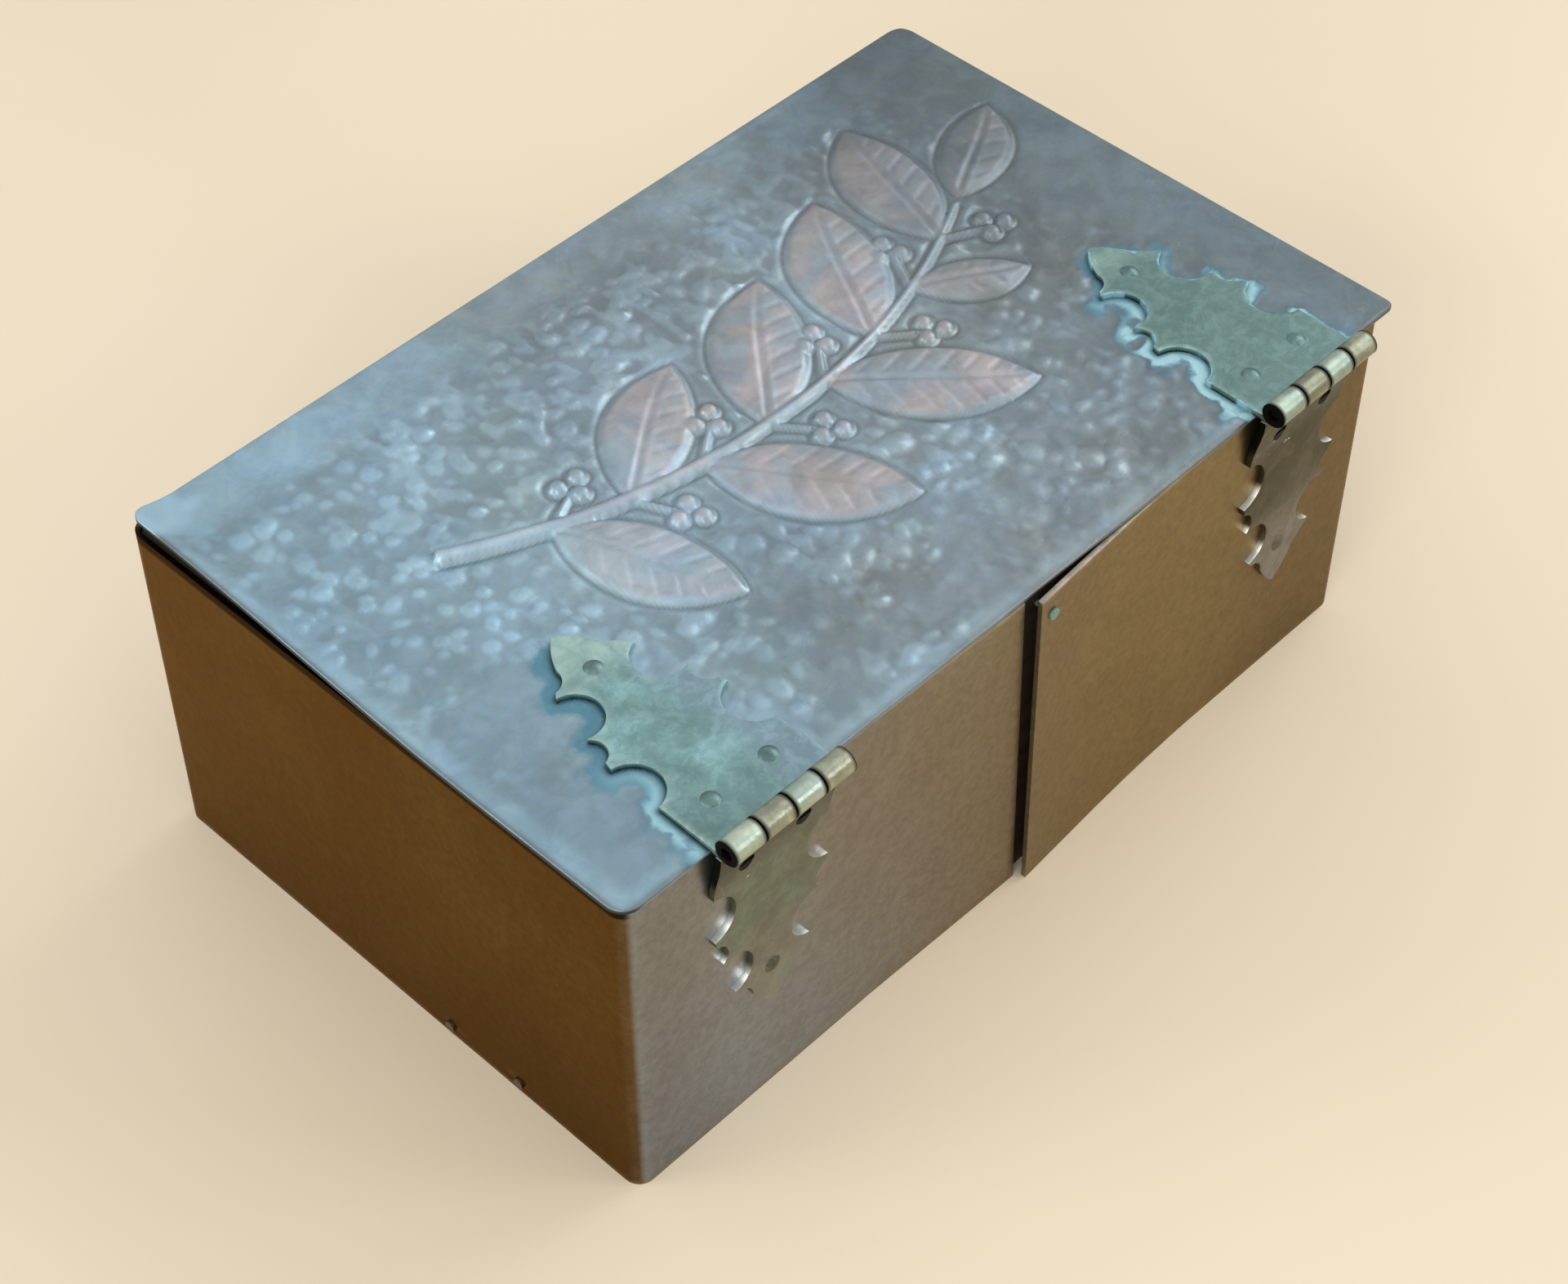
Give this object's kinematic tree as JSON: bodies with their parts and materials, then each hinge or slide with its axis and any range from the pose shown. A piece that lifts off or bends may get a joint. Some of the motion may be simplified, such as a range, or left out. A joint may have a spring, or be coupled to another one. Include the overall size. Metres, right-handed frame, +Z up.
{
  "type": "metal and wood keepsake box",
  "caption": "Hinged keepsake box: an embossed copper lid on scalloped brass strap hinges over a wooden carcass wrapped in copper sheet.",
  "frame": {"origin": "middle of the underside of the base board, which stands on the table", "axes": "+Z up, +X along the box's width to the right as seen from the front, +Y from the front to the hinges at the back"},
  "size_m": [0.178, 0.1167, 0.0734],
  "materials": {
    "cedar_wall": "bare planed cedar, satin",
    "cedar_base": "bare planed cedar, satin",
    "cedar_lining": "bare planed cedar, satin",
    "body_copper": "smooth copper sheet with an even dark brown patina",
    "lid_copper": "embossed copper sheet with a blue-grey patina",
    "hinge_brass": "dulled greenish brass, bright on worn edges",
    "rivet_brass": "dulled brass",
    "nail_brass": "tarnished brass",
    "nail_verdigris": "brass under green corrosion",
    "pin_steel": "blackened steel",
    "screw_steel": "blackened steel"
  },
  "bodies": {
    "body": {"front_board": "cedar_wall", "back_board": "cedar_wall", "left_end_board": "cedar_wall", "right_end_board": "cedar_wall", "base_board": "cedar_base", "body_wrap": "body_copper", "base_nails": "nail_brass", "seam_nail": "nail_verdigris", "left_hinge_body_leaf": "hinge_brass", "left_hinge_pin": "pin_steel", "left_body_leaf_screws": "screw_steel", "left_body_leaf_nail": "rivet_brass", "right_hinge_body_leaf": "hinge_brass", "right_hinge_pin": "pin_steel", "right_body_leaf_screws": "screw_steel", "right_body_leaf_nail": "rivet_brass"},
    "lid": {"lid_sheet": "lid_copper", "lid_lining": "cedar_lining", "left_hinge_lid_leaf": "hinge_brass", "left_lid_leaf_rivets": "rivet_brass", "right_hinge_lid_leaf": "hinge_brass", "right_lid_leaf_rivets": "rivet_brass"}
  },
  "joints": [
    {"name": "lid_hinge", "type": "hinge", "parent": "body", "child": "lid", "pos_m": [0, 0.059, 0.0712], "axis": [-1, 0, 0], "range_deg": [0, 215]}
  ]
}
